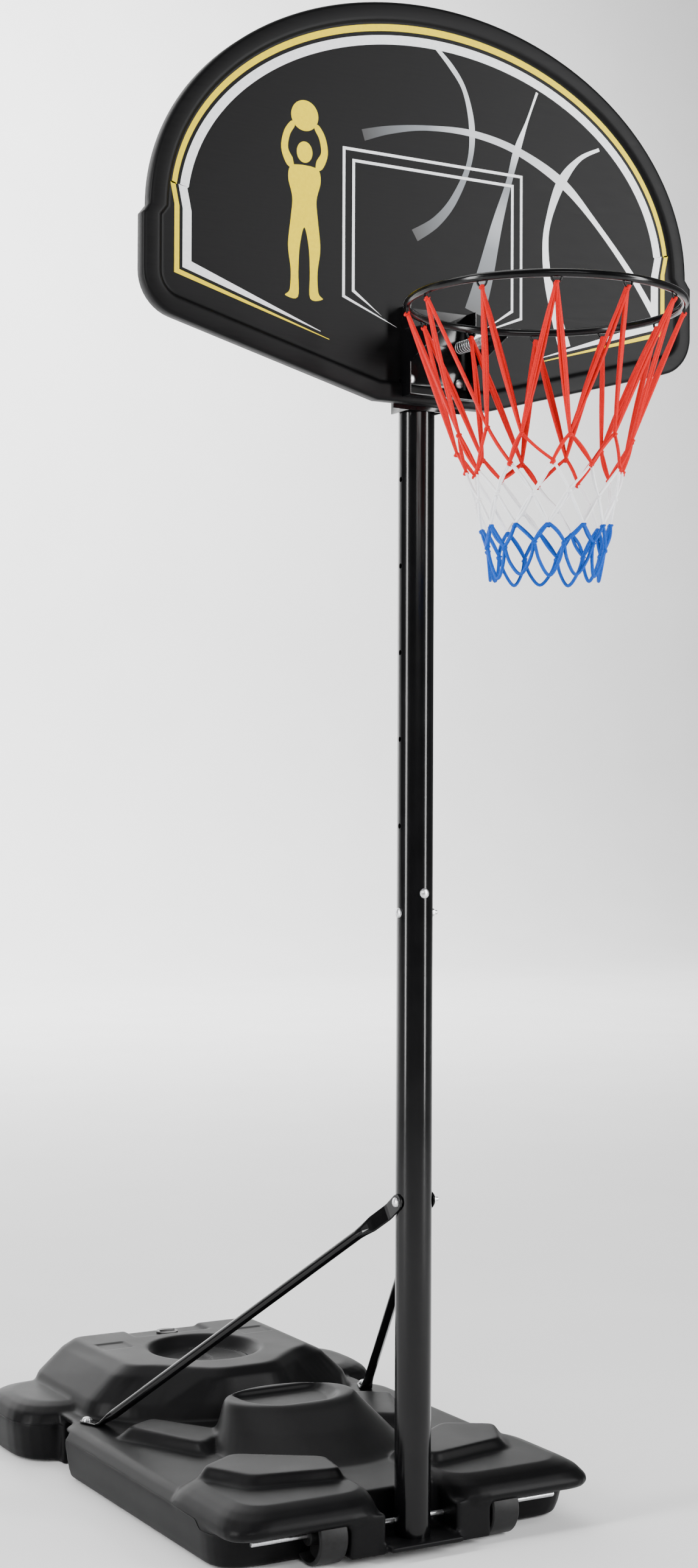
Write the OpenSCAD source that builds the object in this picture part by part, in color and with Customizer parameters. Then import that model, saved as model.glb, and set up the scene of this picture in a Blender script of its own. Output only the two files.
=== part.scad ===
// Portable basketball hoop: a ballast tank on two wheels, a two-piece pole with two braces,
// and a moulded backboard with a sprung rim that bolts to the pole at any of a row of holes.
// Millimetres. +Z is up, the rim side is -Y and +X is to the right of someone facing the board.
// Sizes along Y are laid out from the pole's axis, then placed() moves the whole hoop so that
// the origin lies on the floor under the middle of the tank.

/* [Pole] */
// Outside diameter of both pole sections
pole_d = 64; // [56:1:80]
// Wall of the pole tube
pole_wall = 1.5; // [1:0.1:3]
// Height of the pole's foot above the floor
foot_z = 30; // [20:1:45]
// Height where the two sections meet
joint_z = 1097; // [900:1:1300]
// Length of the swaged neck inside the upper section
neck_len = 100; // [80:1:200]
// Radial gap between the neck and the upper section
neck_gap = 0.3; // [0.2:0.1:0.6]
// Height of the lowest bolt hole in the upper section
first_hole_z = 1120; // [915:1:1325]
// Pitch of the height-setting holes
hole_pitch = 152.4; // [120:0.1:160]
// Number of height-setting holes above the first
hole_count = 8; // [7:1:9]
// Length of pole above the top hole
pole_over = 70; // [30:1:120]

/* [Backboard] */
// Half of the board's greatest width
board_half_w = 558; // [450:1:680]
// Half of the width above the shoulder step
board_top_half_w = 546; // [440:1:670]
// Depth of the bottom edge below the lower of the two height bolts
board_drop = 28.4; // [20:0.1:32]
// Height of the shoulder step above the bottom edge
shoulder_h = 270; // [220:1:330]
// Height of the arched top above the shoulder step
arch_h = 427; // [330:1:500]
// Half width of the flat bottom edge
board_flat_half = 115; // [80:1:160]
// Radius of the lower corners
board_corner_r = 75; // [60:1:110]
// Rise of the slanted bottom edges per unit of width
board_slant = 0.267; // [0.15:0.01:0.35]
// Width of the raised border
border_w = 34; // [24:1:60]
// How far the border stands in front of the field
border_rise = 6; // [3:0.5:10]
// Thickness of the board at its field
board_t = 22; // [18:1:40]
// Skin of the moulded board
board_skin = 3; // [2:0.5:4]

/* [Rim] */
// Radius of the ring to the middle of its rod
ring_r = 223.7; // [200:0.1:235]
// Diameter of the ring's rod
ring_rod_d = 13; // [10:0.5:18]
// Height of the ring's centre plane above the board's bottom edge
ring_rise = 112; // [90:1:124]
// Distance of the ring's centre in front of the pole's axis
ring_reach = 401; // [380:1:450]
// Number of net hooks
hook_count = 12; // [8:1:14]
// Diameter of the hook wire
hook_wire_d = 3.5; // [2.5:0.5:5]
// Margin of the rim's back plate beyond its bolts
plate_margin = 18; // [12:1:30]
// Height of the back plate
plate_h = 156; // [130:1:180]
// Thickness of the rim's sheet steel
plate_t = 3; // [2:0.5:5]
// Depth of the plate's folded flanges
flange_depth = 28; // [20:1:36]
// Sideways distance of the rim bolts from the flanges of the pole bracket
rim_bolt_gap = 13; // [12:1:20]
// Height of the lower rim bolts above the board's bottom edge
low_bolt_rise = 41.5; // [36:0.5:49]
// Height of the sprung rim bolts above the lower ones
spring_rise = 63.5; // [50:0.5:70]
// Free travel of the rim, in degrees
rim_travel = 6; // [2:1:7]

/* [Springs] */
// Outside diameter of the rim springs
spring_d = 23; // [18:0.5:26]
// Diameter of the spring wire
spring_wire_d = 2.6; // [2:0.1:3.2]
// Length of a spring at rest
spring_len = 64; // [50:1:80]
// Turns in each spring
spring_turns = 8; // [6:1:10]

/* [Net] */
// Drop of the net below the ring
net_drop = 450; // [350:1:520]
// Radius of the net's open lower end
net_end_r = 88; // [70:1:120]
// Thickness that stands for the net's cord
net_t = 1.6; // [1:0.2:3]

/* [Tank] */
// Half width of the front part of the tank
tank_half_w = 370; // [345:1:430]
// Half width of the rear lobes
lobe_half_w = 412; // [395:1:470]
// Distance of the tank's nose in front of the pole's axis
nose = 42; // [38:1:60]
// Distance of the tank's rear behind the pole's axis
tank_rear = 1070; // [1000:1:1300]
// Height of the deck
deck_z = 100; // [90:1:112]
// Height of the mould seam around the sides
seam_z = 72; // [60:1:80]
// Height of the rear block
block_z = 190; // [175:1:230]
// Height of the middle mound
mound_z = 175; // [150:1:200]
// Thickness of the ledge over the wheel wells
ledge_t = 9; // [7:1:20]
// Rise of the fender pads above that ledge
pad_rise = 19; // [10:1:40]
// Wall of the moulded tank
tank_wall = 3; // [2.5:0.5:5]
// Radius of the round dish in the rear block
dish_r = 117; // [90:1:125]
// Depth of that dish
dish_depth = 30; // [15:1:40]
// Radius of the filler hole
filler_r = 20; // [15:1:24]

/* [Wheels] */
// Diameter of the wheels
wheel_d = 104; // [85:1:126]
// Width of the wheels
wheel_w = 56; // [40:1:58]
// Distance of each wheel's middle from the centre line
wheel_x = 175; // [168:1:190]
// Diameter of the axle rod
axle_d = 10; // [8:0.5:12]
// Length of the axle rod
axle_len = 620; // [560:1:660]
// Gap between the wheels and the floor while the tank stands flat
wheel_lift = 1; // [0.5:0.5:5]
// Distance of the axle behind the pole's axis
axle_y = 17; // [10:0.5:18]

/* [Braces] */
// Diameter of the brace tubes
brace_d = 19; // [16:0.5:25]
// Height of the bolt that holds both braces to the pole
brace_top_z = 613; // [500:1:760]
// Sideways distance of the brace feet from the middle
brace_foot_x = 312; // [304:1:316]
// Distance of the brace feet behind the pole's axis
brace_foot_y = 715; // [690:1:722]
// Thickness of the flattened ends
tab_t = 4; // [3:0.5:5]

/* [Fasteners] */
// Diameter of the bolts
bolt_d = 8; // [6:0.5:9]
// Diameter of the round bolt heads
head_d = 18; // [14:0.5:20]
// Width across the flats of the nuts
nut_af = 13; // [11:0.5:15]
// Thickness of the nuts
nut_t = 6.5; // [5:0.5:8]

/* [Hidden] */
$fn = 48;

eps = 0.01;
hole_clear = 0.5;      // radial clearance of bolt holes
tank_mid = (tank_rear - nose) / 2;

pole_r = pole_d / 2;
pole_in = pole_r - pole_wall;
neck_r = pole_in - neck_gap;
pole_top_z = first_hole_z + hole_count * hole_pitch + pole_over;
front_joint_z = first_hole_z + 35;
bolt_r = bolt_d / 2;
bolt_hole = bolt_r + hole_clear;

// The bracket behind the board holds the pole with two bolts, one hole pitch apart.
height_holes = [first_hole_z + 6 * hole_pitch, first_hole_z + 7 * hole_pitch];
board_bottom_z = height_holes[0] - board_drop;
ring_z = board_bottom_z + ring_rise;
low_bolt_z = board_bottom_z + low_bolt_rise;
bracket_t = 3;
bracket_gap = 1;
bracket_side_gap = 2;
bracket_back = -pole_r - bracket_gap;
board_back = bracket_back - bracket_t;
field_front = board_back - board_t;
border_front = field_front - border_rise;
bracket_low = board_bottom_z - 6;
bracket_h = hole_pitch + 77.6;
bracket_in = pole_r + bracket_side_gap;
bracket_out = bracket_in + bracket_t;
rim_bolt_x = bracket_out + rim_bolt_gap;
plate_half_w = rim_bolt_x + plate_margin;

// The rim's plate lies on the board's field and rocks on the lower bolts.
plate_back = field_front;
plate_front = plate_back - plate_t;
plate_low = low_bolt_z - 32.5;
spring_z = low_bolt_z + spring_rise;
head_gap = 1;
rock_hole = bolt_r + 1.4;
washer_t = 2;
washer_r = 12.5;
spring_tip = plate_front - spring_len;
bolt_tip = spring_tip - washer_t - 2 * nut_t - 4;
head_t = 5.5;

ring_rod_r = ring_rod_d / 2;
hook_r = 8;
hook_z = ring_z - ring_rod_r;
net_top_z = hook_z - hook_r - hook_wire_d;
net_low_z = ring_z - net_drop;

axle_r = axle_d / 2;
run_clear = 0.1;
rib_clear = 0.3;
wheel_r = wheel_d / 2;
axle_z = wheel_r + wheel_lift;
well_gap = 4;
well_in = wheel_x - wheel_w / 2 - well_gap;
well_out = wheel_x + wheel_w / 2 + well_gap;
well_back = axle_y + wheel_r + 12;
well_top = axle_z + wheel_r + 5;
ledge_z = well_top + ledge_t;
pad_z = ledge_z + pad_rise;
channel_half = pole_r + 40;
heel_front = 30;       // front face of the low corners behind the axle's ends
front_rear = brace_foot_y + 45;
plug_y = tank_rear - 55;
plug_z = block_z - 7;
block_half = 214;
lobe_front = front_rear + 40;

// ---- shared helpers ----

module placed() {
  translate([0, -tank_mid, 0]) children();
}

// Points of an arc, counter-clockwise from a0 to a1.
function arc(cx, cy, rx, ry, a0, a1, n) =
  [for (i = [0:n]) let (a = a0 + (a1 - a0) * i / n) [cx + rx * cos(a), cy + ry * sin(a)]];

// A rectangle with rounded corners, as a list of points.
function soft_rect(x0, x1, y0, y1, r, n = 5) = concat(
  arc(x1 - r, y0 + r, r, r, -90, 0, n),
  arc(x1 - r, y1 - r, r, r, 0, 90, n),
  arc(x0 + r, y1 - r, r, r, 90, 180, n),
  arc(x0 + r, y0 + r, r, r, 180, 270, n));

// A polygon whose corners are rounded from r before each corner to r after it.
function soft_poly(pts, r, n = 3) =
  let (m = len(pts))
  [for (i = [0:m - 1]) let (p = pts[i], a = p + r * unit(pts[(i + m - 1) % m] - p),
      b = p + r * unit(pts[(i + 1) % m] - p))
    for (k = [0:n]) let (t = k / n) (1 - t) * (1 - t) * a + 2 * t * (1 - t) * p + t * t * b];

// The points of one side, and the same points on the other side of the middle plane.
function two_sided(pts) = concat(pts,
  [for (i = [len(pts) - 1:-1:0]) [-pts[i][0], pts[i][1]]]);

function oval(cx, cy, rx, ry, n = 32) =
  [for (i = [0:n - 1]) [cx + rx * cos(360 * i / n), cy + ry * sin(360 * i / n)]];

// A solid skinned over rings of points in space, each counter-clockwise seen from the next ring.
module skin(rings) {
  n = len(rings[0]);
  m = len(rings);
  polyhedron(
    points = [for (r = rings) for (p = r) p],
    faces = concat(
      [[for (i = [0:n - 1]) i]],
      [[for (i = [n - 1:-1:0]) (m - 1) * n + i]],
      [for (k = [0:m - 2]) for (i = [0:n - 1])
        [k * n + i, (k + 1) * n + i, (k + 1) * n + (i + 1) % n]],
      [for (k = [0:m - 2]) for (i = [0:n - 1])
        [k * n + i, (k + 1) * n + (i + 1) % n, k * n + (i + 1) % n]]));
}

// A solid skinned over flat outlines: levels = [[outline, z], ...].
module loft(levels) {
  skin([for (lv = levels) [for (p = lv[0]) [p[0], p[1], lv[1]]]]);
}

module both_sides() {
  children();
  mirror([1, 0, 0]) children();
}

// A cylinder along X, from x0 to x1.
module rod_x(x0, x1, y, z, r) {
  translate([x0, y, z]) rotate([0, 90, 0]) cylinder(h = x1 - x0, r = r);
}

// A cylinder along Y, from y0 to y1.
module rod_y(x, y0, y1, z, r) {
  translate([x, y1, z]) rotate([90, 0, 0]) cylinder(h = y1 - y0, r = r);
}

// A round-headed bolt that points along +Z, with its domed head below z = 0.
module round_bolt(reach, head = head_d) {
  dome = [for (a = [0:15:90]) [head / 2 * cos(a), -1 - (head_t - 1) * sin(a)]];
  rotate_extrude() polygon(concat([[0, reach], [0, -head_t]],
    [for (i = [len(dome) - 2:-1:0]) dome[i]], [[head / 2, 0], [bolt_r, 0],
    [bolt_r, reach - 1], [bolt_r - 1, reach]]));
}

// A hexagonal nut whose bore just clears the bolt's shank.
module hex_nut(t = nut_t) {
  difference() {
    cylinder(h = t, r = nut_af / sqrt(3), $fn = 6);
    translate([0, 0, -1]) cylinder(h = t + 2, r = bolt_r + 0.05);
  }
}

module washer(r, t) {
  difference() {
    cylinder(h = t, r = r);
    translate([0, 0, -1]) cylinder(h = t + 2, r = bolt_r + 0.3);
  }
}

// ---- ballast tank ----

// One rounded slab of the tank, drawn in by w to make the space inside it.
module slab(hw, y0, y1, r, top, w, foot = 30, shoulder = 25) {
  loft([
    [soft_rect(-hw + foot + w, hw - foot - w, y0 + foot + w, y1 - foot - w, r), w],
    [soft_rect(-hw + 8 + w, hw - 8 - w, y0 + 8 + w, y1 - 8 - w, r), 22],
    [soft_rect(-hw + w, hw - w, y0 + w, y1 - w, r), seam_z - 8],
    [soft_rect(-hw + w, hw - w, y0 + w, y1 - w, r), seam_z + 6],
    [soft_rect(-hw + shoulder / 3 + w, hw - shoulder / 3 - w,
      y0 + shoulder / 3 + w, y1 - shoulder / 3 - w, r), top - 12],
    [soft_rect(-hw + shoulder + w, hw - shoulder - w, y0 + shoulder + w, y1 - shoulder - w, r),
      top - w]]);
}

// The solid forms of the tank, each drawn in by w.
module tank_forms(w) {
  slab(tank_half_w, heel_front, front_rear, 40, deck_z, w);
  slab(lobe_half_w, lobe_front, tank_rear, 60, deck_z + 15, w, 30, 40);
  translate([-330 + w, front_rear - 60 + w, w])
    cube([660 - 2 * w, lobe_front - front_rear + 120 - 2 * w, deck_z - 2 * w]);
  rear_block(w);
  mound(w);
  both_sides() {
    side_pad(w);
    fender(w);
  }
}

// The block at the rear, with a tongue that runs forward between its shoulders.
module rear_block(w) {
  rear = tank_rear - 8 - w;
  side = front_rear - 20 + w;
  loft([
    [soft_poly(two_sided([[80 - w, 590 + w], [220 - w, 640 + w], [302 - w, side],
      [302 - w, rear]]), 30), deck_z - 10],
    [soft_poly(two_sided([[72 - w, 612 + w], [205 - w, 672 + w], [286 - w, side],
      [286 - w, rear - 2]]), 30), deck_z + 28],
    [soft_poly(two_sided([[66 - w, 630 + w], [166 - w, 716 + w], [236 - w, side],
      [232 - w, rear - 4]]), 26), block_z - 16],
    [soft_poly(two_sided([[62 - w, 648 + w], [152 - w, 734 + w],
      [block_half - 12 - w, side + 14], [block_half - 6 - w, rear - 14]]), 26), block_z - w]]);
}

// The leaning mound in the middle.
module mound(w) {
  loft([
    [oval(0, 372, 196 - w, 200 - w), deck_z - 10],
    [oval(0, 424, 156 - w, 132 - w), (deck_z + mound_z) / 2],
    [oval(0, 452, 139 - w, 97 - w), mound_z - 10],
    [oval(0, 460, 130 - w, 82 - w), mound_z - w]]);
}

module side_pad(w) {
  loft([
    [soft_poly([[98 + w, 455], [212, 372 + w], [322 - w, 590], [222, 652 - w]], 22), deck_z - 8],
    [soft_poly([[133 + w, 466], [214, 405 + w], [290 - w, 572], [220, 610 - w]], 16),
      deck_z + 22 - w]]);
}

// The ledge over a wheel, the pad on it and the low rib beside the pole's bay.
module fender(w) {
  front = -nose + w;
  loft([
    [soft_rect(channel_half + w, 366 - w, front + 12, 235, 26), seam_z],
    [soft_rect(channel_half + w, 370 - w, front, 245, 30), seam_z + 14],
    [soft_rect(channel_half + w, 368 - w, front + 1, 245, 32), ledge_z - 12],
    [soft_rect(channel_half + 3 + w, 358 - w, front + 12, 236 - w, 30), ledge_z - w]]);
  loft([
    [soft_poly([[84 + w, 66 + w], [282 - w, 98 + w], [330 - w, 214], [228, 284 - w],
      [74 + w, 182]], 18), ledge_z - 14],
    [soft_poly([[97 + w, 84 + w], [256 - w, 116 + w], [307 - w, 210], [222, 262 - w],
      [84 + w, 168]], 15), pad_z - w]]);
  translate([channel_half + w, -nose + 8 + w, 14 + w])
    cube([well_in - channel_half - 2 * w, nose + well_back - 2 * w, seam_z]);
}

// The wheel's well, wider at the bottom of its arch.
module wheel_well(w) {
  translate([well_in - w, -nose - 20, -1])
    cube([well_out - well_in + 2 * w, nose + 20 + well_back + w, well_top + 1 + w]);
}

module arch_flare(w) {
  translate([0, -nose + 24 + w, 0]) rotate([90, 0, 0]) linear_extrude(60)
    polygon([[well_out - 1, well_top + w], [well_out + 28 + w, seam_z - 2 + w],
      [well_out + 28 + w, -1], [well_out - 1, -1]]);
}

// The shallow dish in the mound's top: round in front and straight behind.
module mound_dish(w) {
  dish_w = 104;
  loft([
    [soft_poly(two_sided([[50 + w, 400 - w], [dish_w - 22 + w, 440], [dish_w - 14 + w, 516 + w]]),
      24), mound_z - 14 - w],
    [soft_poly(two_sided([[60 + w, 388 - w], [dish_w + w, 436], [dish_w + 4 + w, 524 + w]]),
      24), mound_z + 1]]);
}

// The pocket under each brace foot, where its nut is reached from the side notch.
module nut_pocket(w) {
  translate([brace_foot_x - 24 - w, brace_foot_y - 22 - w, -1])
    cube([100, 100, deck_z - 11 + w]);
}

module base_tank() {
  color([0.13, 0.13, 0.13]) placed() difference() {
    union() {
      tank_forms(0);
      // the lip that the pole's foot stands on, between the two ribs
      translate([-channel_half - 1, -nose - 14, foot_z - 12])
        cube([2 * channel_half + 2, nose + 14 + heel_front + 30, 12]);
    }
    // the closed space for water or sand
    difference() {
      tank_forms(tank_wall);
      translate([0, dish_y(), block_z - dish_depth - tank_wall])
        cylinder(h = dish_depth + tank_wall + 1, r1 = dish_r - 30 + tank_wall,
          r2 = dish_r + tank_wall);
      mound_dish(tank_wall);
      both_sides() wheel_well(tank_wall);
      both_sides() arch_flare(tank_wall);
      both_sides() nut_pocket(tank_wall);
      channel(tank_wall);
      translate([-block_half, plug_y - 34, plug_z - tank_wall]) cube([2 * block_half, 200, 40]);
    }
    translate([0, dish_y(), block_z - dish_depth])
      cylinder(h = dish_depth + 1, r1 = dish_r - 30, r2 = dish_r + 1);
    mound_dish(0);
    both_sides() wheel_well(0);
    both_sides() arch_flare(0);
    both_sides() nut_pocket(0);
    both_sides() translate([brace_foot_x, brace_foot_y, 0])
      cylinder(h = deck_z + 30, r = bolt_hole);
    both_sides() rod_x(channel_half - 5, well_in + 5, axle_y, axle_z, axle_r + rib_clear);
    // the lower step between the rear corners, with the filler hole in it
    translate([-84, plug_y - 30, plug_z]) cube([168, 120, 60]);
    translate([0, plug_y, plug_z - 40]) cylinder(h = 60, r = filler_r);
    // two shallow rectangles pressed into the block
    both_sides() translate([132, 905, block_z - 1]) cube([58, 48, 10]);
    channel(0);
  }
}

function dish_y() = tank_rear - 235;

// The open bay in the nose where the pole stands.
module channel(w) {
  translate([-channel_half - w, -nose - 30, foot_z])
    cube([2 * (channel_half + w), nose + 30 + heel_front + 22 + w, 200]);
  translate([-channel_half - w, -nose - 30, -1])
    cube([2 * (channel_half + w), nose + 30 + heel_front + w, foot_z - 11]);
}

module filler_plug() {
  color([0.09, 0.09, 0.09]) placed() translate([0, plug_y, plug_z]) {
    cylinder(h = 5, r = filler_r + 3);
    translate([0, 0, -14]) cylinder(h = 15, r = filler_r - 0.3);
    translate([-filler_r + 3, -2.5, 4]) cube([2 * filler_r - 6, 5, 4]);
  }
}

// ---- wheels and axle ----

module axle_rod() {
  color([0.78, 0.78, 0.8]) placed() {
    rod_x(-axle_len / 2 + 1.5, axle_len / 2 - 1.5, axle_y, axle_z, axle_r);
    both_sides() translate([axle_len / 2 - 1.5, axle_y, axle_z]) rotate([0, 90, 0])
      cylinder(h = 1.5, r1 = axle_r, r2 = axle_r - 1.5);
  }
}

// A moulded wheel: tread, web and hub turned in one profile.
module wheel() {
  rotate([0, 90, 0]) rotate_extrude($fn = 72) polygon([
    [axle_r + run_clear, -wheel_w / 2], [17, -wheel_w / 2], [18, -wheel_w / 2 + 1],
    [20, -8], [wheel_r - 9, -8], [wheel_r - 7, -wheel_w / 2], [wheel_r - 3, -wheel_w / 2],
    [wheel_r, -wheel_w / 2 + 3], [wheel_r, wheel_w / 2 - 3], [wheel_r - 3, wheel_w / 2],
    [wheel_r - 7, wheel_w / 2], [wheel_r - 9, 8], [20, 8], [18, wheel_w / 2 - 1],
    [17, wheel_w / 2], [axle_r + run_clear, wheel_w / 2]]);
}

module wheel_left() {
  color([0.15, 0.15, 0.15]) placed() translate([-wheel_x, axle_y, axle_z]) wheel();
}

module wheel_right() {
  color([0.15, 0.15, 0.15]) placed() translate([wheel_x, axle_y, axle_z]) wheel();
}

// ---- pole ----

module pole_lower() {
  color([0.05, 0.05, 0.05]) placed() difference() {
    union() {
      translate([0, 0, foot_z]) cylinder(h = joint_z - foot_z, r = pole_r);
      translate([0, 0, joint_z - 1]) cylinder(h = neck_len + 1, r = neck_r);
    }
    translate([0, 0, foot_z - 1]) cylinder(h = joint_z - foot_z - 20, r = pole_in);
    translate([0, 0, joint_z - 40]) cylinder(h = neck_len + 60, r = neck_r - pole_wall);
    rod_x(-pole_d, pole_d, axle_y, axle_z, axle_r + rib_clear);
    rod_x(-pole_d, pole_d, 0, brace_top_z, bolt_hole);
    rod_x(-pole_d, pole_d, 0, first_hole_z, bolt_hole);
    rod_y(0, -pole_d, pole_d, front_joint_z, bolt_hole);
  }
}

module pole_upper() {
  color([0.05, 0.05, 0.05]) placed() difference() {
    translate([0, 0, joint_z]) cylinder(h = pole_top_z - joint_z, r = pole_r);
    translate([0, 0, joint_z - 1]) cylinder(h = pole_top_z - joint_z + 2, r = pole_in);
    for (k = [0:hole_count])
      rod_x(-pole_d, pole_d, 0, first_hole_z + k * hole_pitch, bolt_hole);
    rod_y(0, -pole_d, pole_d, front_joint_z, bolt_hole);
  }
}

module pole_top_cap() {
  color([0.08, 0.08, 0.08]) placed() translate([0, 0, pole_top_z]) {
    cylinder(h = 3, r = pole_r);
    translate([0, 0, -18]) cylinder(h = 19, r = pole_in - 0.2);
  }
}

module pole_joint_bolts() {
  color([0.82, 0.82, 0.82]) placed() {
    translate([-pole_r, 0, first_hole_z]) rotate([0, 90, 0]) round_bolt(pole_d + 14);
    translate([0, -pole_r, front_joint_z]) rotate([-90, 0, 0]) round_bolt(pole_d + 14);
  }
}

module pole_joint_nuts() {
  color([0.78, 0.78, 0.78]) placed() {
    translate([pole_r, 0, first_hole_z]) rotate([0, 90, 0]) hex_nut();
    translate([0, pole_r, front_joint_z]) rotate([-90, 0, 0]) hex_nut();
  }
}

// ---- braces ----

function unit(v) = v / norm(v);

// A cross-section half a by half b: an ellipse at power 2 and nearly a rectangle at power 8.
function brace_ring(c, d, u, a, b, power) =
  let (u2 = unit(u - (u * d) * d), v = cross(d, u2))
  [for (i = [0:19]) let (t = 18 * i + 9)
    c + a * sign(cos(t)) * pow(abs(cos(t)), 2 / power) * u2
      + b * sign(sin(t)) * pow(abs(sin(t)), 2 / power) * v];

// One brace, on the +X side. Its flattened ends lie on the pole's side and on the deck.
module brace() {
  half_t = tab_t / 2;
  tube_r = brace_d / 2;
  top = [pole_r + half_t, 0, brace_top_z];
  foot = [brace_foot_x, brace_foot_y, deck_z + half_t];
  fall = atan2(brace_top_z - deck_z, brace_foot_y);
  d0 = [0, cos(fall), -sin(fall)];
  u0 = [0, sin(fall), cos(fall)];
  bend = top + 36 * d0;
  heading = unit([foot[0] - bend[0], foot[1] - bend[1], 0]);
  heel = foot - 46 * heading + [0, 0, tube_r - half_t];
  run = unit(heel - bend);
  up = [0, 0, 1];
  difference() {
    skin([
      brace_ring(top - 15 * d0, d0, u0, 3, half_t, 8),
      brace_ring(top - 13 * d0, d0, u0, 8, half_t, 8),
      brace_ring(top - 8 * d0, d0, u0, 12.6, half_t, 8),
      brace_ring(top, d0, u0, 14.5, half_t, 8),
      brace_ring(bend - 4 * d0, d0, u0, 14.5, half_t, 8),
      brace_ring(bend + 4 * run, run, u0, 14.5, half_t, 8),
      brace_ring(bend + 44 * run, run, u0, 14.2, half_t, 8),
      brace_ring(bend + 52 * run, run, u0, 13, half_t + 1.5, 4),
      brace_ring(bend + 66 * run, run, u0, 11, tube_r - 2.5, 2.4),
      brace_ring(bend + 80 * run, run, u0, tube_r, tube_r, 2),
      brace_ring(heel - 34 * run, run, u0, tube_r, tube_r, 2),
      brace_ring(heel - 20 * run, run, u0, tube_r - 2.5, 11, 2.4),
      brace_ring(foot - 42 * heading + [0, 0, 4], unit(run + heading), up, half_t + 1.5, 12.5, 4),
      brace_ring(foot - 32 * heading, heading, up, half_t, 13.5, 8),
      brace_ring(foot, heading, up, half_t, 13.5, 8),
      brace_ring(foot + 8 * heading, heading, up, half_t, 11.5, 8),
      brace_ring(foot + 13 * heading, heading, up, half_t, 6, 8)]);
    translate([pole_r - 5, 0, brace_top_z]) rotate([0, 90, 0]) cylinder(h = 20, r = bolt_hole);
    translate([brace_foot_x, brace_foot_y, deck_z - 5]) cylinder(h = 60, r = bolt_hole);
    translate([0, 0, deck_z - 60]) cube([2 * brace_foot_x + 200, 3 * brace_foot_y, 120],
      center = true);
    translate([-pole_d, -pole_d, brace_top_z - 200]) cube([pole_d + pole_r, 3 * pole_d, 400]);
  }
}

module brace_left() {
  color([0.06, 0.06, 0.06]) placed() mirror([1, 0, 0]) brace();
}

module brace_right() {
  color([0.06, 0.06, 0.06]) placed() brace();
}

module brace_pole_bolt() {
  color([0.82, 0.82, 0.82]) placed()
    translate([-pole_r - tab_t, 0, brace_top_z]) rotate([0, 90, 0])
      round_bolt(pole_d + 2 * tab_t + 14);
}

module brace_pole_nut() {
  color([0.1, 0.1, 0.1]) placed()
    translate([pole_r + tab_t, 0, brace_top_z]) rotate([0, 90, 0]) hex_nut();
}

module brace_foot_bolts() {
  color([0.8, 0.8, 0.8]) placed() both_sides()
    translate([brace_foot_x, brace_foot_y, deck_z + tab_t + 1.6]) rotate([180, 0, 0])
      round_bolt(32);
}

module brace_foot_washers() {
  color([0.8, 0.8, 0.8]) placed() both_sides()
    translate([brace_foot_x, brace_foot_y, deck_z + tab_t]) washer(10, 1.6);
}

module brace_foot_nuts() {
  color([0.8, 0.8, 0.8]) placed() both_sides()
    translate([brace_foot_x, brace_foot_y, deck_z - 12 - nut_t]) hex_nut();
}

// ---- backboard ----

// The board's outline drawn in by d, counter-clockwise from the right end of its flat bottom.
function board_outline(d) =
  let (hw = board_half_w - d,
    tilt = atan(board_slant),
    r = max(board_corner_r - d, 12),
    low = board_bottom_z + d,
    flat = board_flat_half - d * tan(tilt / 2),
    cx = hw - r,
    cz = low + board_slant * (cx - flat) + r / cos(tilt),
    step_z = board_bottom_z + shoulder_h,
    top_hw = board_top_half_w - d,
    right = concat([[flat, low]],
      arc(cx, cz, r, r, tilt - 90, 0, 6),
      arc(hw - 5, step_z - 5, 5, 5, 0, 60, 3)),
    top = arc(0, step_z + 12, top_hw, arch_h - 12 - d, 0, 180, 60))
  concat(right, top, [for (i = [len(right) - 1:-1:0]) [-right[i][0], right[i][1]]]);

// A flat sheet with that outline, between two distances from the pole's axis.
module board_sheet(d, y0, y1) {
  translate([0, y1, 0]) rotate([90, 0, 0]) linear_extrude(y1 - y0) polygon(board_outline(d));
}

// Stiffening channels pressed into the back of the board, in pairs either side of the bracket.
module back_channels(w) {
  for (row = [[2150, 430], [2270, 470], [2390, 455], [2510, 370]]) both_sides()
    translate([95 - w, board_back - 13 - w, row[0] - 14 - w])
      cube([row[1] - 95 + 2 * w, 30, 28 + 2 * w]);
}

module rim_bolt_axes(r) {
  both_sides() rod_y(rim_bolt_x, border_front - 10, 0, low_bolt_z, r);
  both_sides() rod_y(rim_bolt_x, border_front - 10, 0, spring_z, r);
}

module backboard() {
  color([0.12, 0.12, 0.12]) placed() difference() {
    union() {
      board_sheet(0, field_front, board_back);
      difference() {
        board_sheet(3, border_front, field_front + 1);
        board_sheet(border_w, border_front - 1, field_front + 2);
      }
    }
    difference() {
      board_sheet(4, field_front + board_skin, board_back - board_skin);
      rim_bolt_axes(13);
      back_channels(board_skin);
      translate([-plate_half_w - 7, field_front, board_bottom_z])
        cube([2 * plate_half_w + 14, 9, low_bolt_rise + 4]);
    }
    back_channels(0);
    rim_bolt_axes(bolt_hole);
    // the flat seat for the rim's plate, cut through the border
    translate([-plate_half_w - 2, border_front - 1, plate_low - 3])
      cube([2 * plate_half_w + 4, border_front_cut(), plate_h + 6]);
    // room for the plate's lower edge as the rim rocks
    translate([-plate_half_w - 2, field_front - 1, plate_low - 3])
      cube([2 * plate_half_w + 4, 5, low_bolt_z - plate_low + 3]);
  }
}

function border_front_cut() = field_front - border_front + 1;

// ---- bracket between the board and the pole ----

module pole_bracket() {
  color([0.07, 0.07, 0.07]) placed() difference() {
    union() {
      translate([-plate_half_w, board_back, bracket_low])
        cube([2 * plate_half_w, bracket_t, bracket_h]);
      both_sides() translate([bracket_in, board_back, bracket_low])
        cube([bracket_t, 26 - board_back, bracket_h]);
    }
    rim_bolt_axes(bolt_hole);
    for (z = height_holes) rod_x(-pole_d, pole_d, 0, z, bolt_hole);
  }
}

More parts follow.
